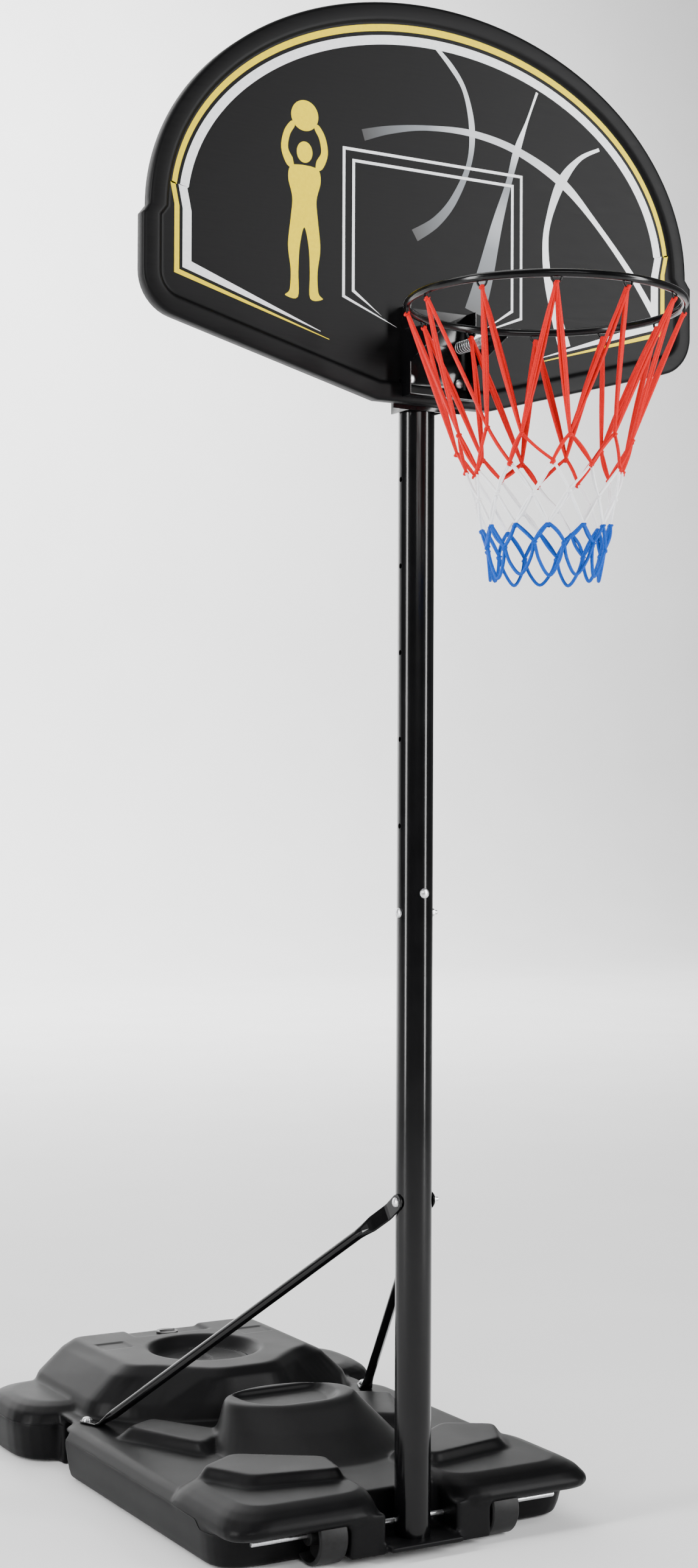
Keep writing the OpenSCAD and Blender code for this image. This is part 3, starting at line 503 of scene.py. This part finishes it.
# moulded grain, drawn at 2 mm
grain = add_node(board_plastic, "TexNoise", {"Scale": 1000 / 2, "Detail": 2.0}, {"Vector": place})
tint = add_node(board_plastic, "ValToRGB", {}, {"Fac": draw.outputs["Fac"]},
                [(0.3, linear("050506")), (0.75, linear("0A0A0B"))])
relief = add_node(board_plastic, "Bump", {"Strength": 0.15, "Distance": 0.0003},
    {"Height": grain.outputs["Fac"]})
gloss = add_node(board_plastic, "MapRange", {"To Min": 0.4, "To Max": 0.52}, {"Value": draw.outputs["Fac"]})
finish_material(board_plastic, {"IOR": 1.49, "Specular IOR Level": 0.12}, {
    "Base Color": tint.outputs["Color"], "Roughness": gloss.outputs["Result"],
    "Normal": relief.outputs["Normal"]})

board = add_piece("backboard_panel", verts, faces, board_plastic, None, 35)
plate_low, plate_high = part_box("rim_bracket")
seat_x, seat_bottom = plate_high.x * 1000 + 2, plate_low.z * 1000 - 3


def cut_box(x0, x1, y0, y1, z0, z1):
    corners = [board_point(x, y, z) for x in (x0, x1) for y in (y0, y1) for z in (z0, z1)]
    return corners, [[0, 1, 3, 2], [4, 6, 7, 5], [0, 4, 5, 1], [2, 3, 7, 6], [0, 2, 6, 4], [1, 5, 7, 3]]


channels = [cut_box(95, half, board_back - 13, board_back + 20, z - 14, z + 14)
            for z, half in ((2150, 430), (2270, 470), (2390, 455), (2510, 370))]
cutters = gather("board_cutters", [
    cut_box(-seat_x, seat_x, border_front - 5, field, seat_bottom, seat_bottom + 162),
    cut_box(-seat_x, seat_x, field - 1, field + 4, seat_bottom, seat_bottom + 35.5)], channels)
apply_modifier(board, "BOOLEAN", operation="DIFFERENCE", object=cutters, solver="EXACT")
bpy.data.objects.remove(cutters)
apply_modifier(board, "BEVEL", width=0.0012, segments=2, limit_method="ANGLE", angle_limit=math.radians(50))
soften_shading(board, 40)
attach(board, "board_assembly")
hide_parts("backboard")


# Screen-printed ink: a film too thin to see edge on, here 0.3 mm proud of the
# field. Satin, with the board's grain just showing through.
def ink(name, low_tone, high_tone, rough):
    material, place = start_material(name)
    speck = add_node(material, "TexNoise", {"Scale": 1000 / 5, "Detail": 4.0}, {"Vector": place})
    tint = add_node(material, "ValToRGB", {}, {"Fac": speck.outputs["Fac"]},
                    [(0.3, linear(low_tone)), (0.7, linear(high_tone))])
    relief = add_node(material, "Bump", {"Strength": 0.1, "Distance": 0.0002},
        {"Height": speck.outputs["Fac"]})
    return finish_material(material, {"Roughness": rough, "IOR": 1.47, "Specular IOR Level": 0.12},
                           {"Base Color": tint.outputs["Color"], "Normal": relief.outputs["Normal"]})


yellow_ink = ink("yellow_screen_ink", "F0D400", "F8DE00", 0.5)
white_ink = ink("white_screen_ink", "F0F3F6", "FDFEFF", 0.5)


def print_shape(name, polygons, material, film=0.3):
    """Flat printed shapes on the field: polygons of points across and up, in mm."""
    verts, faces = [], []
    for polygon in polygons:
        n, start = len(polygon), len(verts)
        for y in (field + 0.3, field - film):
            verts += [board_point(x, y, z) for x, z in polygon]
        faces.append([start + i for i in range(n)][::-1])
        faces.append([start + n + i for i in range(n)])
        faces += [[start + i, start + (i + 1) % n, start + n + (i + 1) % n, start + n + i] for i in range(n)]
    return add_piece(name, verts, faces, material, "board_assembly", 30)


def line_between(outer, inner):
    """Quads that fill the strip between two lines of points."""
    return [[outer[i], outer[i + 1], inner[i + 1], inner[i]] for i in range(len(outer) - 1)]


def border_line(x_top, x_low, kink_high, kink_low, corner, tip, arch):
    """One edge of the printed border: a tapered foot, the side, its kink and the arch."""
    right = [tip, (x_low, corner), (x_low, kink_low), (x_top, kink_high)]
    top = arc(0, 2288, x_top, arch, 6, 174, 80)
    return right + top + [(-x, z) for x, z in reversed(right)]


yellow_outer = border_line(508, 500, 2331, 2294, 2181, (209, 2100), 377)
yellow_inner = border_line(499, 491, 2329, 2291, 2187, (209, 2101), 365)
white_outer = border_line(493, 485, 2327, 2288, 2191, (226, 2112), 358)
white_inner = border_line(477, 469, 2322, 2284, 2202, (226, 2113), 342)
print_shape("printed_yellow_border", line_between(yellow_outer, yellow_inner), yellow_ink)
print_shape("printed_white_border", line_between(white_outer, white_inner), white_ink)


def target_line(inset, width):
    """One line of the target rectangle, whose lower ends slant in to points at the rim's plate."""
    def edge(d):
        return [(-76 - d, 2135 + d * 0.5), (-184 + d, 2176 + d * 0.6), (-184 + d, 2434 - d),
            (184 - d, 2434 - d),
                (184 - d, 2176 + d * 0.6), (76 + d, 2135 + d * 0.5)]
    return line_between(edge(inset), edge(inset + width))


print_shape("printed_target_lines", target_line(0, 5) + target_line(19, 5), white_ink, 0.45)

# The ball-seam lines are printed in white that fades out towards their ends.
fading_ink, place = start_material("fading_white_screen_ink")
strength = add_node(fading_ink, "Attribute", {"attribute_name": "ink_strength"})
speck = add_node(fading_ink, "TexNoise", {"Scale": 1000 / 5, "Detail": 4.0}, {"Vector": place})
tone = add_node(fading_ink, "ValToRGB", {}, {"Fac": strength.outputs["Fac"]},
                [(0.0, linear("1E1E1F")), (0.5, linear("70767C")), (1.0, linear("F2F5F7"))])
relief = add_node(fading_ink, "Bump", {"Strength": 0.1, "Distance": 0.0002}, {"Height": speck.outputs["Fac"]})
finish_material(fading_ink, {"Roughness": 0.42, "IOR": 1.47},
                {"Base Color": tone.outputs["Color"], "Normal": relief.outputs["Normal"]})


def smooth_line(points, per_span=10):
    """A Catmull-Rom curve through points of any size of tuple."""
    out = []
    for i in range(len(points) - 1):
        p0, p1 = points[max(i - 1, 0)], points[i]
        p2, p3 = points[i + 1], points[min(i + 2, len(points) - 1)]
        for k in range(per_span):
            t = k / per_span
            out.append(tuple(0.5 * (2 * b + (c - a) * t + (2 * a - 5 * b + 4 * c - d) * t * t
                                    + (3 * b - a - 3 * c + d) * t ** 3)
                              for a, b, c, d in zip(p0, p1, p2, p3)))
    return out + [tuple(points[-1])]


# each point: across, up, width of the line and strength of the ink
ball_seams = [
    [(-10, 2644, 5, 1), (33, 2606, 10, 0.8), (62, 2566, 9, 0.75), (77, 2503, 12, 0.75), (71, 2439, 10, 0.5),
     (40, 2372, 14, 0.4), (3, 2328, 18, 0.2), (-40, 2299, 22, 0.0)],
    [(-144, 2459, 20, 0.0), (-90, 2476, 14, 0.2), (-16, 2490, 9, 0.5), (77, 2494, 12, 0.75),
    (172, 2477, 14, 0.75),
     (268, 2434, 18, 0.85), (341, 2372, 11, 1), (422, 2287, 12, 1), (478, 2214, 14, 1)],
    [(215, 2588, 5, 1), (194, 2534, 5, 1), (172, 2477, 14, 0.8), (155, 2418, 12, 0.5), (130, 2339, 22, 0.6),
     (106, 2249, 34, 0.35), (84, 2178, 42, 0.1)],
    [(351, 2505, 6, 1), (307, 2481, 9, 0.9), (268, 2434, 18, 0.85), (241, 2364, 12, 0.9), (234, 2310, 13, 1),
     (243, 2240, 18, 1), (276, 2136, 27, 0.9)]]
for number, seam_points in enumerate(ball_seams):
    route = smooth_line(seam_points)
    left, right, inks = [], [], []
    for i, (x, z, width, strong) in enumerate(route):
        ahead = Vector(route[min(i + 1, len(route) - 1)][:2]) - Vector(route[max(i - 1, 0)][:2])
        across = Vector((-ahead.y, ahead.x)).normalized() * width / 2
        left.append((x + across.x, z + across.y))
        right.append((x - across.x, z - across.y))
        inks.append(strong)
    seam_piece = print_shape(f"printed_ball_seam_{number + 1}", line_between(left, right), fading_ink,
        0.12 + 0.04 * number)
    shade = seam_piece.data.attributes.new("ink_strength", "FLOAT", "POINT")
    middles = [Vector(((a[0] + b[0]) / 2000, (a[1] + b[1]) / 2000)) for a, b in zip(left, right)]
    for v in seam_piece.data.vertices:
        at = min(range(len(middles)), key=lambda k: (middles[k] - Vector((v.co.x, v.co.z))).length_squared)
        shade.data[v.index].value = inks[at]


# A plain upright figure with both arms raised in a set shot, printed in yellow. Its
# trunk and legs, its arms, its head and the ball are shapes that overlap.
figure_x, figure_foot, figure_scale = -258, 2166, 0.86


def figure_shape(points, side=1):
    """A smooth closed shape, from points across and above the middle of the figure's feet."""
    placed = [(figure_x + side * x * figure_scale, figure_foot + z * figure_scale) for x, z in points[::side]]
    return [(x, z) for x, z in smooth_line(placed + placed[:1], 5)[:-1]]


half_body = [(14, 261), (32, 255), (36, 231), (27, 195), (30, 157), (36, 101), (30, 53), (32, 13), (42, 1),
             (14, 0), (13, 51), (10, 101)]
body = half_body + [(0, 139)] + [(-x, z) for x, z in reversed(half_body)]
raised_arm = [(24, 253), (40, 259), (52, 289), (46, 323), (30, 345), (22, 337), (33, 317), (37, 291),
    (27, 273)]
print_shape("printed_player_body", [figure_shape(body)], yellow_ink, 0.2)
for side, name in ((-1, "left"), (1, "right")):
    print_shape(f"printed_player_{name}_arm", [figure_shape(raised_arm, side)], yellow_ink, 0.26)
print_shape("printed_player_head", [arc(figure_x, figure_foot + 247, 15, 18, 0, 352, 44)], yellow_ink, 0.26)
print_shape("printed_player_ball", [arc(figure_x, figure_foot + 309, 26, 26, 0, 353, 54)], yellow_ink, 0.32)

# ---------------------------------------------------------------------------
# Pole bracket: folded steel channel bolted behind the board. Two bolts pass
# through its flanges and a pair of the pole's holes.
bevelled("pole_bracket", 0.0008, black_coat, "board_assembly")
coat(zinc_steel, "height_bolts")
bevelled("height_nuts", 0.0005, zinc_steel, "board_assembly")

# ---------------------------------------------------------------------------
# Rim: a ring of bent steel rod welded to two arms and a folded back plate, all
# powder coated gloss black, with wire hooks under it for the net.
coat(black_coat, "rim_ring", "net_hooks", angle=60)
bevelled("rim_bracket", 0.0007, black_coat, "rim")

# ---------------------------------------------------------------------------
# Rim springs: coils of plated wire on long bolts. They hold the plate to the
# board and let the rim tip under load.
spring_wire, place = start_material("zinc_plated_spring_wire")
speck = add_node(spring_wire, "TexNoise", {"Scale": 1000 / 2, "Detail": 3.0}, {"Vector": place})
tint = add_node(spring_wire, "ValToRGB", {}, {"Fac": speck.outputs["Fac"]},
                [(0.3, linear("A9ABAE")), (0.7, linear("D6D8DA"))])
finish_material(spring_wire, {"Metallic": 1.0, "Roughness": 0.3}, {"Base Color": tint.outputs["Color"]})
for name in ("spring_left", "spring_right"):
    low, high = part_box(name)
    cx, cz = (low.x + high.x) / 2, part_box("spring_bolts")[0].z / 2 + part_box("spring_bolts")[1].z / 2
    wire, turns = 0.0013, 9
    coil_r = (high.x - low.x) / 2 - wire
    path = []
    for i in range(turns * 24 + 1):
        t = i / (turns * 24)
        # the end turns lie closed, and the middle ones are spread
        spread = min(max((t - 0.09) / 0.82, 0), 1)
        y = high.y - wire - (high.y - low.y - 2 * wire) * (0.05 * min(t / 0.09, 1) + 0.9 * spread
                                                          + 0.05 * min(max((t - 0.91) / 0.09, 0), 1))
        a = 2 * math.pi * turns * t
        path.append((cx + coil_r * math.cos(a), y, cz + coil_r * math.sin(a)))
    spring = add_tube(name + "_coil", [path], wire, spring_wire, "board_assembly", 10)
    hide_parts(name)
    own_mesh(spring)
coat(zinc_steel, "spring_bolts", "rim_lower_bolts", "spring_washers")
bevelled("spring_nuts", 0.0005, zinc_steel, "board_assembly")
bevelled("rim_lower_nuts", 0.0005, zinc_steel, "board_assembly")

# ---------------------------------------------------------------------------
# Net: knotted nylon cord, red above, white, then blue. Long doubled cords hang
# from the hooks, and the knots below them make diamonds and end loops.
random.seed(7)


def nylon(name, low_tone, high_tone):
    material, place = start_material(name)
    # fibres about 1.2 mm apart
    fibre = add_node(material, "TexNoise", {"Scale": 1000 / 1.2, "Detail": 3.0}, {"Vector": place})
    tint = add_node(material, "ValToRGB", {}, {"Fac": fibre.outputs["Fac"]},
                    [(0.3, linear(low_tone)), (0.72, linear(high_tone))])
    relief = add_node(material, "Bump", {"Strength": 0.5, "Distance": 0.0006},
        {"Height": fibre.outputs["Fac"]})
    return finish_material(material, {"Roughness": 0.6, "IOR": 1.53, "Specular IOR Level": 0.15,
        "Sheen Weight": 0.04,
                                      "Sheen Roughness": 0.4},
                           {"Base Color": tint.outputs["Color"], "Normal": relief.outputs["Normal"]})


red_cord = nylon("red_nylon_cord", "B00000", "DC0004")
white_cord = nylon("white_nylon_cord", "ECEEF2", "FFFFFF")
blue_cord = nylon("blue_nylon_cord", "00348C", "0058C0")
ring_low, ring_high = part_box("rim_ring")
ring_y = (ring_low.y + ring_high.y) / 2
net_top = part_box("net_hooks")[0].z + 0.004
hook_radius = 0.2237


def net_radius(z):
    """How far the hanging net stands from the ring's axis at a height in mm."""
    t = min(max((2097 - z) / 430, 0), 1)
    return 88 + (hook_radius * 1000 - 6 - 88) * (1 - t) ** 1.35


def net_knot(turn, z, loose=5.0):
    """A point on the net, turn counted in hook spacings, with a little disorder."""
    a = math.radians(30 * turn + random.uniform(-1, 1) * loose * 0.35)
    r = (net_radius(z) + random.uniform(-1, 1) * loose * 0.5) / 1000
    return Vector((r * math.cos(a), ring_y + r * math.sin(a), (z + random.uniform(-1, 1) * loose) / 1000))


heights = [1893, 1846, 1800, 1757, 1722]
hooks = [Vector((hook_radius * math.cos(math.radians(30 * i)),
    ring_y + hook_radius * math.sin(math.radians(30 * i)),
                 net_top)) for i in range(12)]
rows = [[net_knot(i + (0.5 if k % 2 == 0 else 0), z, 5 if k else 12) for i in range(12)]
        for k, z in enumerate(heights)]


def strand(a, b, bow=0.0, steps=8, shift=0.0):
    """A cord from one knot to the next, bowed outwards and set aside a little at its middle."""
    out = []
    middle = (a + b) / 2
    outward = Vector((middle.x, middle.y - ring_y, 0)).normalized()
    aside = (b - a).cross(outward).normalized()
    for k in range(steps + 1):
        t = k / steps
        swell = math.sin(math.pi * t)
        out.append(a.lerp(b, t) + outward * bow * swell + aside * shift * swell)
    return out


red_paths, white_paths, blue_paths = [], [], []
for i in range(12):
    for j in (i, (i - 1) % 12):
        # each long cord is three strands side by side, which meet at hook and knot
        for shift in (-0.0026, 0.0002, 0.0028):
            tie = hooks[i] + Vector((random.uniform(-1, 1), random.uniform(-1, 1), 0)) * 0.0015
            red_paths.append(strand(tie, rows[0][j], random.uniform(-0.004, 0.003), 10, shift * 1.3))
for row, paths in ((0, red_paths), (1, white_paths), (2, white_paths), (3, blue_paths)):
    for i in range(12):
        for j in ((i, (i + 1) % 12) if row % 2 == 0 else (i, (i - 1) % 12)):
            paths.append(strand(rows[row][i], rows[row + 1][j], random.uniform(0.0, 0.004), 8,
                                random.uniform(-0.003, 0.003)))
            paths.append(strand(rows[row][i], rows[row + 1][j], random.uniform(-0.002, 0.002), 8,
                                random.uniform(-0.003, 0.003)))
for i in range(12):
    a, b = rows[4][i], rows[4][(i + 1) % 12]
    low = net_knot(i + 1, 1672, 3)
    low.z = max(low.z, 1.6705)
    loop = smooth_line([tuple(a), tuple(a.lerp(low, 0.55) + (a - b) * 0.12), tuple(low),
                        tuple(b.lerp(low, 0.55) + (b - a) * 0.12), tuple(b)], 6)
    blue_paths.append(loop)
for name, paths, radius, material, slot in (
        ("red", red_paths, 0.0027, red_cord, "net_red_cord"),
        ("white", white_paths, 0.0021, white_cord, "net_white_cord"),
        ("blue", blue_paths, 0.0029, blue_cord, "net_blue_cord")):
    cords = add_tube(f"net_{name}_cords", paths, radius, material, "rim", 8)
    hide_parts("net_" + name)


def knot(centre, size):
    """A knot: two short turns of cord pulled tight, as a small wound ball."""
    path = []
    lean = random.uniform(0, math.pi)
    for i in range(33):
        a = 2 * math.pi * i / 14
        up = (i / 32 - 0.5) * size * 1.6
        r = size * (0.75 + 0.25 * math.cos(a * 1.5 + lean))
        path.append(centre + Vector((r * math.cos(a), r * math.sin(a), up)))
    return path


for name, picked, material, slot in (("red", hooks + rows[0] + rows[1], red_cord, "net_red_cord"),
                                     ("white", rows[2], white_cord, "net_white_cord"),
                                     ("blue", rows[3] + rows[4], blue_cord, "net_blue_cord")):
    add_tube(f"net_{name}_knots", [knot(p - Vector((0, 0, 0.003)), 0.0034) for p in picked], 0.0021, material,
             "rim", 7)

# ---------------------------------------------------------------------------
# Floor and light: a pale seamless floor that rises behind, and large soft panels.
floor_paint, place = start_material("pale_studio_floor")
cloud = add_node(floor_paint, "TexNoise", {"Scale": 1.5, "Detail": 2.0}, {"Vector": place})
tint = add_node(floor_paint, "ValToRGB", {}, {"Fac": cloud.outputs["Fac"]},
                [(0.2, linear("F1F1F1")), (0.8, linear("F6F6F6"))])
finish_material(floor_paint, {"Roughness": 0.9}, {"Base Color": tint.outputs["Color"]})
floor_line = [(-16.0, 0.0), (12.0, 0.0)]
floor_line += [(12.0 + 3.0 * math.sin(math.radians(a)), 3.0 - 3.0 * math.cos(math.radians(a)))
    for a in range(6, 91, 6)]
floor_line.append((15.0, 14.0))
verts = [(x, y, z) for y, z in floor_line for x in (-20.0, 20.0)]
faces = [[2 * i, 2 * i + 1, 2 * i + 3, 2 * i + 2] for i in range(len(floor_line) - 1)]
floor = add_piece("studio_floor", verts, faces, floor_paint, None, 60)


def panel(name, place, aim, width, height, power):
    light = bpy.data.lights.new(name, "AREA")
    light.shape = "RECTANGLE"
    light.size, light.size_y, light.energy = width, height, power
    lamp = bpy.data.objects.new(name, light)
    scene.collection.objects.link(lamp)
    lamp.location = place
    lamp.rotation_euler = (Vector(aim) - Vector(place)).to_track_quat("-Z", "Y").to_euler()
    return lamp


panel("left_panel", (-4.4, -0.6, 2.3), (0, -0.4, 1.3), 0.7, 4.2, 300)
panel("right_panel", (2.9, -3.9, 2.3), (0, -0.4, 1.3), 0.7, 4.2, 300)
panel("front_panel", (-1.6, -6.5, 3.6), (0, -0.4, 1.8), 3.0, 2.0, 170)
panel("top_panel", (-0.5, 1.0, 6.0), (-0.3, 0.6, 0), 5.0, 4.0, 150)
panel("backdrop_panel", (0, 8.0, 9.0), (0, 14.5, 2.5), 16.0, 3.0, 4600)
world = bpy.data.worlds.new("studio")
world.use_nodes = True
world.node_tree.nodes["Background"].inputs["Color"].default_value = linear("FFFFFF")
world.node_tree.nodes["Background"].inputs["Strength"].default_value = 0.16
scene.world = world
